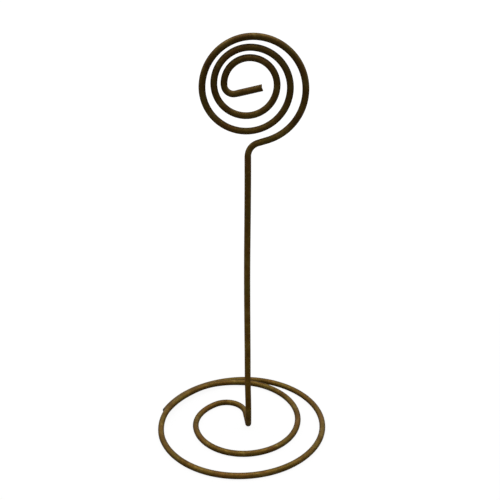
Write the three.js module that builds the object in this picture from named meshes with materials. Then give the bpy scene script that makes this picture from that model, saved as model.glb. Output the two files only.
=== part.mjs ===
import * as THREE from 'three';

// Table number holder: one length of round steel wire, formed into a spiral card clip,
// a plain stem and a flat spiral foot. Millimetres, +Z up; the card faces the front, -Y.
// Each mesh is one formed section of the wire, and neighbours share an end face.

const wireDiameter = 3.2;
const sectionSides = 12;
const finestBend = 7.5; // degrees between two stations of a bend

// Bend tables, in the order the wire is followed away from the stem. A row is
// [radius of the centre line, degrees, climb], where a positive bend turns left,
// or [length, 0] for a straight. The head is seen from the front, the foot from above.
const neckHeight = 153.8; // above the centre line of the foot
const neckBend = [[7, -73], [4.6, 0]];
const outerTurn = [[24.5, 70], [24, 90], [23.2, 90], [20, 90]];
const middleTurn = [[20.1, 90], [18.3, 90], [16.5, 90], [14.6, 90]];
const innerTurn = [[14.1, 90], [12.4, 90], [11.7, 96]];
const cardStop = [[4.3, 100], [12.5, 0]];

const footHeading = 96.2; // degrees from +X: the foot leaves the stem towards the back
const footBend = [[2.6, 90], [9.47, 0]];
const hook = [[10.94, 93]];
const innerLoop = [[10.94, 24.3], [23.72, 27], [21.13, 38.1], [26.4, 90], [30.4, 60], [34.5, 60]];
// The wire climbs over its own tucked end at the back and comes down again at the left.
const crossing = [[32, 45, 0.9], [38, 45, 1.6], [51.5, 30, 0.1], [34.6, 40, -2.6]];
const outerRing = [[43, 65], [46, 65], [42.1, 65], [43.5, 65]];
const tuckedEnd = [[48.2, 31], [47.1, 31]];

const facingFront = { across: new THREE.Vector3(1, 0, 0), up: new THREE.Vector3(0, 0, 1) };
const lyingFlat = { across: new THREE.Vector3(1, 0, 0), up: new THREE.Vector3(0, 1, 0) };

// Direction in a plane, at an angle from its across axis towards its up axis.
function direction(plane, angle) {
  const along = plane.across.clone().multiplyScalar(Math.cos(angle));
  return along.addScaledVector(plane.up, Math.sin(angle));
}

// Centre line of one section. Its stations are spread evenly over each row's bend.
class WireLine extends THREE.Curve {
  constructor(plane, start, heading, rows) {
    super();
    this.plane = plane;
    this.normal = plane.across.clone().cross(plane.up);
    this.end = start.clone();
    this.endHeading = heading;
    this.steps = 0;
    this.rows = rows.map(([size, degrees, climb = 0]) => this.addRow(size, degrees, climb));
  }

  addRow(size, degrees, climb) {
    const bend = THREE.MathUtils.degToRad(degrees);
    const steps = Math.max(1, Math.ceil(Math.abs(degrees) / finestBend));
    const row = { start: this.end, heading: this.endHeading, size, bend, climb, first: this.steps, steps };
    this.steps += steps;
    this.end = this.pointInRow(row, 1);
    this.endHeading += bend;
    return row;
  }

  pointInRow(row, fraction) {
    const turned = row.bend * fraction;
    const chord = row.bend === 0 ? row.size * fraction : 2 * row.size * Math.sin(Math.abs(turned) / 2);
    const point = row.start.clone();
    point.addScaledVector(direction(this.plane, row.heading + turned / 2), chord);
    return point.addScaledVector(this.normal, row.climb * THREE.MathUtils.smoothstep(fraction, 0, 1));
  }

  tangentInRow(row, fraction) {
    const tangent = direction(this.plane, row.heading + row.bend * fraction);
    const length = row.bend === 0 ? row.size : row.size * Math.abs(row.bend);
    const slope = row.climb * 6 * fraction * (1 - fraction) / length;
    return tangent.addScaledVector(this.normal, slope).normalize();
  }

  rowAt(t) {
    const station = t * this.steps;
    const row = this.rows.find(({ first, steps }) => station <= first + steps) ?? this.rows.at(-1);
    return [row, Math.min((station - row.first) / row.steps, 1)];
  }

  getPoint(t, target = new THREE.Vector3()) {
    return target.copy(this.pointInRow(...this.rowAt(t)));
  }

  getTangent(t, target = new THREE.Vector3()) {
    return target.copy(this.tangentInRow(...this.rowAt(t)));
  }

  getUtoTmapping(u) {
    return u;
  }
}

// Regular polygon with its flats on the wire's diameter, one of them facing straight down.
function wireSection() {
  const cornerRadius = wireDiameter / 2 / Math.cos(Math.PI / sectionSides);
  const corners = [];
  for (let i = 0; i < sectionSides; i += 1) {
    const angle = (2 * i + 1) * Math.PI / sectionSides;
    corners.push(new THREE.Vector2(cornerRadius * Math.cos(angle), cornerRadius * Math.sin(angle)));
  }
  return new THREE.Shape(corners);
}

function bronze(color) {
  return new THREE.MeshStandardMaterial({ color, roughness: 0.45, metalness: 0.9 });
}

function addSection(group, name, line, color) {
  const options = { steps: line.steps, bevelEnabled: false, extrudePath: line };
  const mesh = new THREE.Mesh(new THREE.ExtrudeGeometry(wireSection(), options), bronze(color));
  mesh.name = name;
  group.add(mesh);
}

// Follows the wire from one section to the next, each starting where the last one ends.
function addRun(group, plane, start, heading, sections) {
  let end = start;
  let endHeading = heading;
  for (const [name, rows, color] of sections) {
    const line = new WireLine(plane, end, endHeading, rows);
    addSection(group, name, line, color);
    end = line.end;
    endHeading = line.endHeading;
  }
  return end;
}

function buildHolder() {
  const holder = new THREE.Group();
  const stemFoot = new THREE.Vector3(0, 0, wireDiameter / 2 + footBend[0][0]);
  const stemTop = new THREE.Vector3(0, 0, wireDiameter / 2 + neckHeight);
  const headBrown = 0x3a2a12;
  const footBrown = 0x5a4220;

  addRun(holder, facingFront, stemFoot, Math.PI / 2, [
    ['stem', [[stemTop.z - stemFoot.z, 0]], headBrown],
    ['neck_bend', neckBend, headBrown],
    ['card_outer_turn', outerTurn, headBrown],
    ['card_middle_turn', middleTurn, headBrown],
    ['card_inner_turn', innerTurn, headBrown],
    ['card_stop', cardStop, headBrown],
  ]);

  const leaving = direction(lyingFlat, THREE.MathUtils.degToRad(footHeading));
  const bendPlane = { across: leaving, up: new THREE.Vector3(0, 0, 1) };
  const floorPoint = addRun(holder, bendPlane, stemFoot, -Math.PI / 2, [
    ['foot_bend', footBend, footBrown],
  ]);
  addRun(holder, lyingFlat, floorPoint, THREE.MathUtils.degToRad(footHeading), [
    ['base_hook', hook, footBrown],
    ['base_inner_loop', innerLoop, footBrown],
    ['base_crossing', crossing, footBrown],
    ['base_outer_ring', outerRing, footBrown],
    ['base_tucked_end', tuckedEnd, footBrown],
  ]);
  return holder;
}

// The origin is the middle of the footprint, on the table.
function standOnOrigin(holder) {
  const box = new THREE.Box3().setFromObject(holder);
  const middle = box.getCenter(new THREE.Vector3());
  holder.position.set(-middle.x, -middle.y, -box.min.z);
  return holder;
}

export default standOnOrigin(buildHolder());
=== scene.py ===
import math

import bpy
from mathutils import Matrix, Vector, noise


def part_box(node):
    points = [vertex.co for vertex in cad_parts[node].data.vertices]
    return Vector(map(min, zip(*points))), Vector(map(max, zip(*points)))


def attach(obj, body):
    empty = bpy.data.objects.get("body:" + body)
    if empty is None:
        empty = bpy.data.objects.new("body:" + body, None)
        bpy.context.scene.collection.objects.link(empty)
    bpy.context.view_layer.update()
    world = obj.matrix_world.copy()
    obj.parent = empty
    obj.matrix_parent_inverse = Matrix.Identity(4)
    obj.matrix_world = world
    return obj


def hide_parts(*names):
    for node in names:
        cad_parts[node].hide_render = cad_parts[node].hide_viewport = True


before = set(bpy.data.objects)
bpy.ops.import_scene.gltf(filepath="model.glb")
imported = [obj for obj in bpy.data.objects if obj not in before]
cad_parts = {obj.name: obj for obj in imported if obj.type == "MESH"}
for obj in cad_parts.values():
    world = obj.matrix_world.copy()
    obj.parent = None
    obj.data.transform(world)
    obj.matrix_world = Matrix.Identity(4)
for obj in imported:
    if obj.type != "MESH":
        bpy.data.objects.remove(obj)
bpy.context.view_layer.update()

# Table number holder: one round wire, bent into a spiral card clip, a stem and a spiral foot.
# The bend tables are the CAD's, in millimetres, but for the crossing's climbs and a bowed stem.
MM = 0.001
STEM_LO, STEM_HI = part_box("stem")
STEM_X = (STEM_LO.x + STEM_HI.x) / 2 / MM
STEM_Y = (STEM_LO.y + STEM_HI.y) / 2 / MM
WIRE_RADIUS = 1.6
STEM_RISE = 2.6    # from the centre line of the foot to the start of the stem
STEM_TOP = STEM_HI.z / MM
STEM_FOOT = STEM_LO.z / MM
CENTRE_HEIGHT = STEM_FOOT - STEM_RISE    # of the foot wire

# Rows of (radius, degrees, climb), or (length, 0) for a straight, walking away from the stem.
NECK = [(7, -73), (4.6, 0)]
OUTER_TURN = [(24.5, 70), (24, 90), (23.2, 90), (20, 90)]
MIDDLE_TURN = [(20.1, 90), (18.3, 90), (16.5, 90), (14.6, 90)]
INNER_TURN = [(14.1, 90), (12.4, 90), (11.7, 96)]
CARD_STOP = [(4.3, 100), (12.5, 0)]
FOOT_HEADING = 96.2
FOOT_BEND = [(2.6, 90), (9.47, 0)]
HOOK = [(10.94, 93)]
INNER_LOOP = [(10.94, 24.3), (23.72, 27), (21.13, 38.1), (26.4, 90), (30.4, 60), (34.5, 60)]
# The crossing climbs half a millimetre less than the CAD's, so that the wires touch.
CROSSING = [(32, 45, 0.5), (38, 45, 1.1), (51.5, 30, 0.5), (34.6, 40, -2.1)]
OUTER_RING = [(43, 65), (46, 65), (42.1, 65), (43.5, 65)]
TUCKED_END = [(48.2, 31), (47.1, 31)]

X, Y, Z = Vector((1, 0, 0)), Vector((0, 1, 0)), Vector((0, 0, 1))
STATION = 1.5         # mm between stations of a straight
STATION_BEND = 2.5    # degrees between stations of a bend
SIDES = 36

# The real stem isn't quite plumb. Heights are in mm above its foot.
BOW_AT_FOOT = 0.45                                               # mm sideways
BOW_STEPS = [(6, 32, -0.37), (32, 85, -0.21), (85, 146, 0.43)]   # from, to, mm sideways
BOW_GONE = (151, 161)       # the bow ends here, in the first turn
BOW_STATIONS = 12           # stations of the first turn that follow the bow
BOW_FADE = (1, 17)          # mm from the stem over which the foot leaves the bow
HEAD_SETTLE = 0.04          # mm the bowed stem stands lower than a straight one

# A section flattens in bends, in full once the curvature passes (1 + FLAT_START) / FLAT_GAIN.
FLATTENING = 0.045
FLAT_GAIN = 5.0
FLAT_START = 0.15

NOTCH = 0.34                # mm, across the middle of the card end
CUT_RINGS = (0.12, 0.3, 0.5, 0.7, 0.86, 0.96)   # of a cut face, as fractions of the radius
BURR = ((1.0, 0.07, True), (1.012, 0.22, False), (1.0, 0.40, False))   # swell, mm deep, dished
FIRST_CLEAR_STATION = 3     # the stations before it lie in the card end's burr
TAIL_CLEAR = 0.6            # mm of the tucked end that its burr takes up
SHARP_ANGLE = 38            # degrees


def smoothstep(edge0, edge1, x):
    t = min(max((x - edge0) / (edge1 - edge0), 0.0), 1.0)
    return t * t * (3 - 2 * t)


def walk(start, heading, across, up, rows):
    """Stations (point, tangent, curvature) of the centre line through the rows of a bend table."""
    normal = across.cross(up)
    stations = [(start.copy(), across * math.cos(heading) + up * math.sin(heading), 0.0)]
    for size, degrees, *climb in rows:
        climb = climb[0] if climb else 0
        bend = math.radians(degrees)
        length = size if bend == 0 else size * abs(bend)
        steps = max(2, math.ceil(length / STATION if bend == 0 else abs(degrees) / STATION_BEND))
        base = stations[-1][0]
        for i in range(1, steps + 1):
            f = i / steps
            chord = length * f if bend == 0 else 2 * size * math.sin(abs(bend * f) / 2)
            middle, angle = heading + bend * f / 2, heading + bend * f
            p = base + (across * math.cos(middle) + up * math.sin(middle)) * chord
            t = across * math.cos(angle) + up * math.sin(angle)
            t = t + normal * (climb * 6 * f * (1 - f) / length)
            curvature = 0.0 if bend == 0 else 1 / size
            stations.append((p + normal * (climb * smoothstep(0, 1, f)), t.normalized(), curvature))
        heading += bend
    return stations, heading


def stem_bow(z):
    """Sideways shift of the stem in mm, z mm above its foot."""
    bow = BOW_AT_FOOT
    for low, high, change in BOW_STEPS:
        bow += change * smoothstep(low, high, z)
    return bow * (1 - smoothstep(*BOW_GONE, z))


def centre_line():
    """Every station from the card end to the tucked end, with the range each section covers."""
    foot = Vector((STEM_X, STEM_Y, STEM_FOOT))
    top = Vector((STEM_X, STEM_Y, STEM_TOP))
    sections = []
    p, h = top, math.pi / 2
    for name, rows in (("neck_bend", NECK), ("card_outer_turn", OUTER_TURN),
                       ("card_middle_turn", MIDDLE_TURN), ("card_inner_turn", INNER_TURN),
                       ("card_stop", CARD_STOP)):
        stations, h = walk(p, h, X, Z, rows)
        sections.insert(0, (name, [(q, -t, k) for q, t, k in stations[::-1]]))
        p = stations[-1][0]
    stations, h = walk(top, -math.pi / 2, X, Z, [(STEM_TOP - STEM_FOOT, 0)])
    sections.append(("stem", stations))
    heading = math.radians(FOOT_HEADING)
    forward = X * math.cos(heading) + Y * math.sin(heading)
    stations, h = walk(foot, -math.pi / 2, forward, Z, FOOT_BEND)
    sections.append(("foot_bend", stations))
    p, h = stations[-1][0], heading
    for name, rows in (("base_hook", HOOK), ("base_inner_loop", INNER_LOOP),
                       ("base_crossing", CROSSING), ("base_outer_ring", OUTER_RING),
                       ("base_tucked_end", TUCKED_END)):
        stations, h = walk(p, h, X, Y, rows)
        sections.append((name, stations))
        p = stations[-1][0]
    line, ranges = [], {}
    for name, stations in sections:
        first = max(len(line) - 1, 0)
        line += stations[1:] if line else stations
        ranges[name] = (first, len(line) - 1)
    bowed = []
    bow_start = ranges["neck_bend"][0] - BOW_STATIONS
    foot_end = ranges["base_hook"][1]
    for i, (q, t, k) in enumerate(line):
        if bow_start <= i <= ranges["stem"][1]:
            q = q + X * stem_bow(q.z - STEM_FOOT)
        elif ranges["stem"][1] < i <= foot_end:
            away = math.hypot(q.x - STEM_X, q.y - STEM_Y)
            q = q + X * stem_bow(0) * (1 - smoothstep(*BOW_FADE, away))
        settled = HEAD_SETTLE * smoothstep(0, STEM_TOP, q.z)
        bowed.append((q - Z * settled, t, k))
    return bowed, ranges


LINE, RANGES = centre_line()
POINT = [q for q, t, k in LINE]
TANGENT = [t for q, t, k in LINE]
CURVE = [k for q, t, k in LINE]
SIDE = []
side = Y.copy()
for t in TANGENT:
    side = (side - t * side.dot(t)).normalized()
    SIDE.append(side.copy())
LENGTH = [0.0]
for a, b in zip(POINT, POINT[1:]):
    LENGTH.append(LENGTH[-1] + (b - a).length)


def bend_direction(i):
    """Unit vector from the wire towards the centre of its bend."""
    d = TANGENT[min(i + 1, len(TANGENT) - 1)] - TANGENT[max(i - 1, 0)]
    return d.normalized() if d.length > 1e-6 else None


def section_ring(i, shrink=1.0, slide=0.0, dish=None):
    """Points round station i: the section flattens a little in tight bends."""
    t, u = TANGENT[i], SIDE[i]
    v = t.cross(u)
    inward = bend_direction(i)
    squash = FLATTENING * min(1.0, max(CURVE[i] * FLAT_GAIN - FLAT_START, 0.0))
    points = []
    for k in range(SIDES):
        a = 2 * math.pi * k / SIDES
        d = u * math.cos(a) + v * math.sin(a)
        r = WIRE_RADIUS * shrink
        if inward is not None and squash > 0:
            r *= 1 - squash * d.dot(inward) ** 2
        out = slide + (dish(d, shrink) if dish else 0.0)
        points.append((POINT[i] + t * out + d * r, a, shrink))
    return points


def card_end_cut(d, shrink):
    """Side cutters leave a shallow notch across the wire between two raised lips."""
    lip = abs(d.dot(UP_AT_CARD_END)) * shrink
    return NOTCH * (1 - smoothstep(0.0, 0.75, lip)) - 0.05 * noise.noise(d * 2.5 * shrink)


def tucked_end_cut(d, shrink):
    """The tucked end is sheared a little out of square, with a rough face."""
    slope = -0.30 * (1 + d.dot(Z)) * shrink * 0.5 - 0.22 * shrink * max(d.dot(SIDE[-1]), 0)
    return slope + 0.06 * noise.noise(d * 3.1 * shrink + X * 4)


UP_AT_CARD_END = TANGENT[0].cross(Y).normalized()


def tube(name):
    """A closed mesh of one section of the wire, with cut faces where the wire really ends."""
    first, last = RANGES[name]
    verts, faces, space, slots = [], [], [], []

    def add_ring(points, s):
        start = len(verts)
        for p, a, shrink in points:
            verts.append(p * MM)
            r = WIRE_RADIUS * shrink
            space.append((r * math.cos(a), r * math.sin(a), s))
        return start

    def bridge(r0, r1, slot=0):
        for k in range(SIDES):
            k2 = (k + 1) % SIDES
            faces.append((r0 + k, r0 + k2, r1 + k2, r1 + k))
            slots.append(slot)

    def cap(r, flip, slot=0):
        centre = len(verts)
        verts.append(sum((verts[r + k] for k in range(SIDES)), Vector()) / SIDES)
        space.append((0.0, 0.0, space[r][2]))
        for k in range(SIDES):
            k2 = (k + 1) % SIDES
            faces.append((r + k2, r + k, centre) if flip else (r + k, r + k2, centre))
            slots.append(slot)

    def cut_rings(i, cut, into):
        """Rings of a cut face from its middle out, then its burr; into is +1 or -1."""
        rings = [add_ring(section_ring(i, f, 0.0, cut), LENGTH[i]) for f in CUT_RINGS]
        for swell, deep, dished in BURR:
            ring = section_ring(i, swell, into * deep, cut if dished else None)
            rings.append(add_ring(ring, LENGTH[i] + into * deep))
        return rings

    if first == 0:
        rings = cut_rings(0, card_end_cut, 1)
        cap(rings[0], True, 1)
        for n, (r0, r1) in enumerate(zip(rings, rings[1:])):
            bridge(r0, r1, 1 if n < len(CUT_RINGS) - 1 else 0)
        stations = range(FIRST_CLEAR_STATION, last + 1)
        previous = rings[-1]
    else:
        previous = add_ring(section_ring(first), LENGTH[first])
        cap(previous, True)
        stations = range(first + 1, last + 1)
    tail = last == len(LINE) - 1
    for i in stations:
        if tail and LENGTH[last] - LENGTH[i] < TAIL_CLEAR:
            continue
        r = add_ring(section_ring(i), LENGTH[i])
        bridge(previous, r)
        previous = r
    if tail:
        rings = cut_rings(last, tucked_end_cut, -1)[::-1]
        bridge(previous, rings[0])
        for n, (r0, r1) in enumerate(zip(rings, rings[1:])):
            bridge(r0, r1, 1 if n >= len(BURR) else 0)
        cap(rings[-1], False, 1)
    else:
        cap(previous, False)
    mesh = bpy.data.meshes.new(name + "_wire")
    mesh.from_pydata([tuple(v) for v in verts], [], faces)
    mesh.polygons.foreach_set("material_index", slots)
    mesh.update()
    layer = mesh.attributes.new("wire_space", "FLOAT_VECTOR", "POINT")
    layer.data.foreach_set("vector", [c for p in space for c in p])
    mesh.shade_smooth()
    mesh.set_sharp_from_angle(angle=math.radians(SHARP_ANGLE))
    return mesh


class Tree:
    """Short forms for building a node tree."""

    def __init__(self, name):
        self.material = bpy.data.materials.new(name)
        self.material.use_nodes = True
        self.tree = self.material.node_tree
        self.shader = self.tree.nodes["Principled BSDF"]

    def add(self, kind, settings=None, **inputs):
        n = self.tree.nodes.new(kind)
        for key, value in (settings or {}).items():
            setattr(n, key, value)
        for key, value in inputs.items():
            self.plug(value, n.inputs[key.replace("_", " ")])
        return n

    def plug(self, value, socket):
        if isinstance(value, bpy.types.NodeSocket):
            self.tree.links.new(value, socket)
        else:
            socket.default_value = value

    def noise(self, vector, scale, detail=4.0, roughness=0.55, distortion=0.0):
        n = self.add("ShaderNodeTexNoise", Vector=vector, Scale=scale, Detail=detail,
                     Roughness=roughness, Distortion=distortion)
        return n.outputs["Fac"]

    def stretch(self, vector, scale, offset=(0, 0, 0)):
        n = self.add("ShaderNodeMapping", Vector=vector, Scale=scale, Location=offset)
        return n.outputs["Vector"]

    def wire_space(self):
        """mm across the wire in x and y, and along it in z."""
        n = self.add("ShaderNodeAttribute", {"attribute_name": "wire_space"})
        return n.outputs["Vector"]

    def ramp(self, value, stops):
        n = self.add("ShaderNodeValToRGB", Fac=value)
        points = n.color_ramp.elements
        while len(points) < len(stops):
            points.new(0.5)
        for point, (position, colour) in zip(points, stops):
            point.position = position
            point.color = (*colour, 1)
        return n.outputs["Color"]

    def span(self, value, low, high, to_low, to_high, smooth=True):
        kind = "SMOOTHSTEP" if smooth else "LINEAR"
        n = self.add("ShaderNodeMapRange", {"interpolation_type": kind}, Value=value,
                     From_Min=low, From_Max=high, To_Min=to_low, To_Max=to_high)
        return n.outputs["Result"]

    def math(self, operation, a, b=0.0):
        n = self.add("ShaderNodeMath", {"operation": operation})
        self.plug(a, n.inputs[0])
        self.plug(b, n.inputs[1])
        return n.outputs[0]

    def mix(self, factor, a, b, blend="MIX"):
        n = self.add("ShaderNodeMix", {"data_type": "RGBA", "blend_type": blend})
        self.plug(factor, n.inputs[0])
        self.plug(a, n.inputs[6])
        self.plug(b, n.inputs[7])
        return n.outputs[2]

    def scale(self, colour, value):
        n = self.add("ShaderNodeVectorMath", {"operation": "SCALE"})
        self.plug(colour, n.inputs[0])
        self.plug(value, n.inputs[3])
        return n.outputs[0]

    def bump(self, height, strength, distance, normal=None):
        n = self.add("ShaderNodeBump", Height=height, Strength=strength, Distance=distance)
        if normal is not None:
            self.plug(normal, n.inputs["Normal"])
        return n.outputs["Normal"]


PATINA = [(0.32, (0.080, 0.038, 0.0020)), (0.46, (0.108, 0.056, 0.0035)),
          (0.56, (0.130, 0.073, 0.0065)), (0.70, (0.172, 0.113, 0.0230))]
REDDISH = (0.140, 0.056, 0.0070, 1)
OLIVE = (0.110, 0.079, 0.0080, 1)
SPECK = (0.030, 0.016, 0.0040, 1)
CUT_GREY = (0.190, 0.150, 0.095, 1)
CUT_BROWN = (0.085, 0.052, 0.018, 1)
NOISE_SEED = 3.0


def bronze(name, seed):
    """Antique bronze plate: mottled brown patina, faint draw lines, rubbed and dull patches."""
    t = Tree(name)
    place = t.stretch(t.wire_space(), (1, 1, 1), (seed, seed * 0.7, seed * 1.9))
    patches = t.noise(place, 0.17, 5, 0.62, 0.8)
    hue = t.noise(t.stretch(place, (1, 1, 0.6), (31, 7, 5)), 0.12, 3, 0.5)
    mottle = t.noise(place, 1.3, 4, 0.65, 0.3)
    grain = t.noise(place, 7.0, 3, 0.6)
    lines = t.noise(t.stretch(place, (2.6, 2.6, 0.05)), 1.5, 4, 0.6)
    specks = t.noise(t.stretch(place, (1, 1, 1), (3, 11, 2)), 3.2, 2, 0.5)

    colour = t.ramp(patches, PATINA)
    colour = t.mix(t.span(hue, 0.50, 0.68, 0.0, 0.55), colour, REDDISH)
    colour = t.mix(t.span(hue, 0.48, 0.32, 0.0, 0.50), colour, OLIVE)
    colour = t.scale(colour, t.span(mottle, 0.30, 0.70, 0.82, 1.18))
    colour = t.scale(colour, t.span(lines, 0.30, 0.70, 0.90, 1.10))
    colour = t.scale(colour, t.span(grain, 0.30, 0.70, 0.95, 1.05))
    dark = t.span(specks, 0.66, 0.74, 0.0, 0.7)
    colour = t.mix(dark, colour, SPECK)
    # Heights in metres: painted light and shade, not the plate's colour. The colour is lightest at
    # the foot of the stem, where painted light lifts the wire standing above the table, and darkens
    # with painted shade up to the clip.
    where = t.add("ShaderNodeTexCoord").outputs["Object"]
    height = t.add("ShaderNodeSeparateXYZ", Vector=where).outputs["Z"]
    painted_shade_up = t.span(height, 0.015, 0.195, 1.0, 0.44, False)
    painted_light_above_table = t.span(height, 0.003, 0.018, 0.96, 1.58)
    # the base colour carries painted shade towards the clip and painted light above the table
    colour = t.scale(colour, t.math("MULTIPLY", painted_shade_up, painted_light_above_table))
    t.plug(colour, t.shader.inputs["Base Color"])
    t.shader.inputs["Metallic"].default_value = 0.60
    t.shader.inputs["Specular IOR Level"].default_value = 0.28
    rough = t.span(patches, 0.35, 0.70, 0.56, 0.42)
    rough = t.math("ADD", rough, t.span(mottle, 0.3, 0.7, -0.06, 0.06))
    t.plug(t.math("ADD", rough, t.math("MULTIPLY", dark, 0.15)), t.shader.inputs["Roughness"])
    normal = t.bump(grain, 0.35, 0.00003)
    normal = t.bump(lines, 0.40, 0.00005, normal)
    t.plug(t.bump(mottle, 0.35, 0.00010, normal), t.shader.inputs["Normal"])
    return t.material


def cut_metal(name):
    """Sheared wire: greyer than the plate, with parallel tool marks and a brown stain."""
    t = Tree(name)
    space = t.wire_space()
    marks = t.noise(t.stretch(space, (1.0, 9.0, 1.0)), 1.4, 3, 0.6)
    stain = t.noise(space, 1.1, 4, 0.6)
    colour = t.mix(t.span(stain, 0.35, 0.65, 0.25, 0.95), CUT_GREY, CUT_BROWN)
    t.plug(t.scale(colour, t.span(marks, 0.3, 0.7, 0.75, 1.25)), t.shader.inputs["Base Color"])
    t.shader.inputs["Metallic"].default_value = 0.4
    t.plug(t.span(marks, 0.3, 0.7, 0.38, 0.58), t.shader.inputs["Roughness"])
    t.plug(t.bump(marks, 0.6, 0.00008), t.shader.inputs["Normal"])
    return t.material


HEAD_MATERIAL = bronze("antique_bronze_head", NOISE_SEED)
FOOT_MATERIAL = bronze("antique_bronze_foot", NOISE_SEED)
CUT_MATERIAL = cut_metal("cut_wire")
for name in RANGES:
    mesh = tube(name)
    piece = bpy.data.objects.new(name + "_wire", mesh)
    bpy.context.scene.collection.objects.link(piece)
    head = name in ("stem", "neck_bend") or name.startswith("card")
    mesh.materials.append(HEAD_MATERIAL if head else FOOT_MATERIAL)
    mesh.materials.append(CUT_MATERIAL)
    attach(piece, "root")
    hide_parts(name)


FLOOR_REACH = 8.0                         # metres
FLOOR_BOUNCE = (0.18, 0.18, 0.18, 1)      # what lights the wire from below
FLOOR_SEEN = (0.060, 0.060, 0.060, 1)     # low, so the floor's own light stays near white


def floor():
    """A plain white table, near white by its own light, with a faint contact shadow."""
    size = FLOOR_REACH
    corners = [(-size, -size, 0), (size, -size, 0), (size, size, 0), (-size, size, 0)]
    mesh = bpy.data.meshes.new("floor")
    mesh.from_pydata(corners, [], [(0, 1, 2, 3)])
    obj = bpy.data.objects.new("floor", mesh)
    bpy.context.scene.collection.objects.link(obj)
    t = Tree("white_table")
    seen = t.add("ShaderNodeLightPath").outputs["Is Camera Ray"]
    t.plug(t.mix(seen, FLOOR_BOUNCE, FLOOR_SEEN), t.shader.inputs["Base Color"])
    t.shader.inputs["Roughness"].default_value = 0.9
    t.shader.inputs["Specular IOR Level"].default_value = 0.0
    t.plug((1, 1, 1, 1), t.shader.inputs["Emission Color"])
    place = t.add("ShaderNodeTexCoord").outputs["Object"]
    away = t.add("ShaderNodeVectorMath", {"operation": "LENGTH"}, Vector=place).outputs["Value"]
    glow = t.math("MULTIPLY", seen, t.span(away, 0.10, 0.55, 0.93, 1.0))
    t.plug(glow, t.shader.inputs["Emission Strength"])
    mesh.materials.append(t.material)


WORLD_LOW = (0.10, 0.25)     # upward part of the direction, grey level
WORLD_HIGH = (0.8, 0.8)


def studio():
    """A world brighter overhead, and plain white where the camera sees it."""
    world = bpy.data.worlds.new("studio")
    bpy.context.scene.world = world
    world.use_nodes = True
    tree = world.node_tree
    background = tree.nodes["Background"]
    coord = tree.nodes.new("ShaderNodeTexCoord")
    split = tree.nodes.new("ShaderNodeSeparateXYZ")
    tree.links.new(coord.outputs["Generated"], split.inputs[0])
    ramp = tree.nodes.new("ShaderNodeValToRGB")
    for element, (position, grey) in zip(ramp.color_ramp.elements, (WORLD_LOW, WORLD_HIGH)):
        element.position = position
        element.color = (grey, grey, grey, 1)
    tree.links.new(split.outputs["Z"], ramp.inputs["Fac"])
    path = tree.nodes.new("ShaderNodeLightPath")
    mix = tree.nodes.new("ShaderNodeMix")
    mix.data_type = "RGBA"
    mix.inputs[7].default_value = (1.0, 1.0, 1.0, 1)
    tree.links.new(path.outputs["Is Camera Ray"], mix.inputs[0])
    tree.links.new(ramp.outputs["Color"], mix.inputs[6])
    tree.links.new(mix.outputs[2], background.inputs["Color"])
    background.inputs["Strength"].default_value = 1.0


def softbox(name, location, aim, size, power):
    data = bpy.data.lights.new(name, "AREA")
    data.shape = "RECTANGLE"
    data.size, data.size_y = size
    data.energy = power
    obj = bpy.data.objects.new(name, data)
    obj.location = location
    obj.rotation_mode = "QUATERNION"
    obj.rotation_quaternion = (Vector(aim) - Vector(location)).to_track_quat("-Z", "Y")
    bpy.context.scene.collection.objects.link(obj)


LENS = 57.6                               # mm
SENSOR = 36.0                             # mm
CLIP_START = 0.01                         # metres
CAMERA_PITCH = 24.25                      # degrees below level
CAMERA_OFFSET = (1.32, -360.9, 268.27)    # mm from the stem's axis and the foot's centre line


def camera():
    data = bpy.data.cameras.new("camera")
    data.lens = LENS
    data.sensor_width = SENSOR
    data.clip_start = CLIP_START
    obj = bpy.data.objects.new("camera", data)
    dx, dy, dz = CAMERA_OFFSET
    obj.location = Vector((STEM_X + dx, STEM_Y + dy, CENTRE_HEIGHT + dz)) * MM
    obj.rotation_euler = (math.radians(90 - CAMERA_PITCH), 0, 0)
    bpy.context.scene.collection.objects.link(obj)
    bpy.context.scene.camera = obj


# Name, place and aim in metres, size in metres, watts.
LIGHTS = [
    ("top_softbox", (0.0, 0.14, 1.60), (0, 0.06, 0), (2.2, 0.9), 19.5),
    ("left_softbox", (-0.9, 0.15, 0.45), (0, 0, 0.08), (0.7, 0.7), 1.0),
    ("right_softbox", (0.9, 0.15, 0.45), (0, 0, 0.08), (0.7, 0.7), 0.75),
    ("backdrop", (0.0, 1.2, 0.40), (0, 0, 0.08), (2.0, 0.8), 2.6),
]

floor()
studio()
for light in LIGHTS:
    softbox(*light)
camera()
bpy.context.scene.view_settings.view_transform = "Standard"
